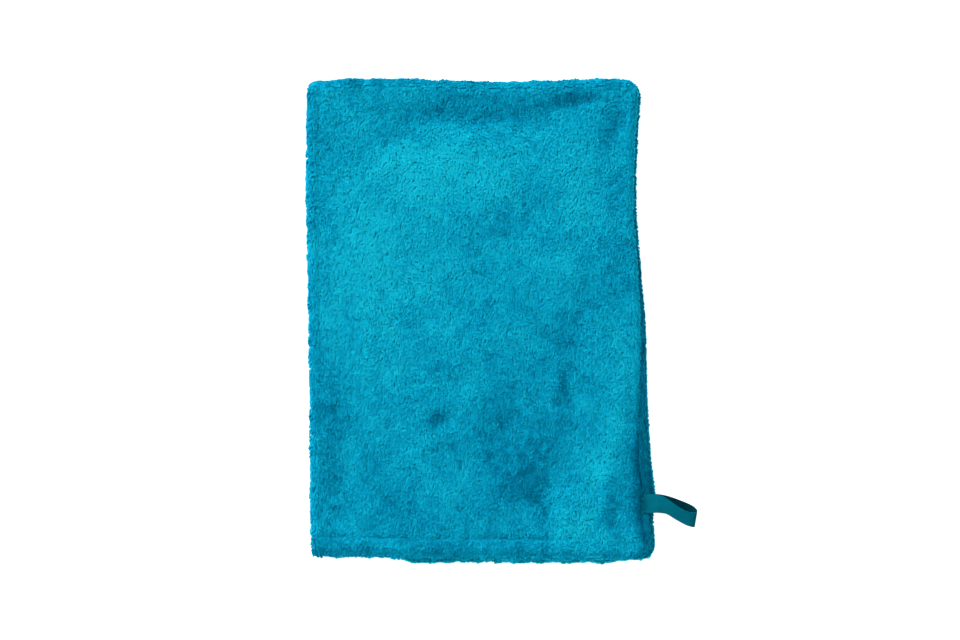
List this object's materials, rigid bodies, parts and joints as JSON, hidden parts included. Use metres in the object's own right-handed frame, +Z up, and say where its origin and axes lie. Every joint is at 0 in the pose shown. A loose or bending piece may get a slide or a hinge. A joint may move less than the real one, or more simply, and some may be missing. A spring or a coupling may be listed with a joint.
{
  "type": "terry wash mitt",
  "caption": "Flat rectangular terry wash mitt, sewn on three sides, with a hemmed open mouth and a tape hanging loop in one side seam.",
  "frame": {"origin": "centre of the face that the mitt rests on when it lies flat with its front up", "axes": "+Z up out of the front panel, +Y towards the closed finger end (the mouth is at -Y), +X towards the hanging loop"},
  "size_m": [0.1689, 0.2099, 0.011],
  "materials": {
    "terry": "looped cotton pile, matte",
    "tape": "fine woven tape, slight sheen",
    "thread": "spun polyester sewing thread"
  },
  "bodies": {
    "back": {"back_panel": "terry", "front_seam_edge": "terry", "left_seam_needle_thread": "thread", "left_seam_looper_thread": "thread", "right_seam_needle_thread": "thread", "right_seam_looper_thread": "thread", "top_seam_needle_thread": "thread", "top_seam_looper_thread": "thread", "back_hem_needle_thread": "thread", "back_hem_bobbin_thread": "thread", "hanging_loop_ends": "tape"},
    "front": {"front_panel": "terry", "front_hem_needle_thread": "thread", "front_hem_bobbin_thread": "thread"},
    "loop": {"hanging_loop": "tape"}
  },
  "joints": [
    {"name": "mouth_open", "type": "hinge", "parent": "back", "child": "front", "pos_m": [0, 0.105, 0.0055], "axis": [-1, 0, 0], "range_deg": [0, 8]},
    {"name": "loop_swing", "type": "hinge", "parent": "back", "child": "loop", "pos_m": [0.07062, -0.07966, 0.0096], "axis": [0.0333, -0.9994, 0], "range_deg": [0, 90]}
  ]
}
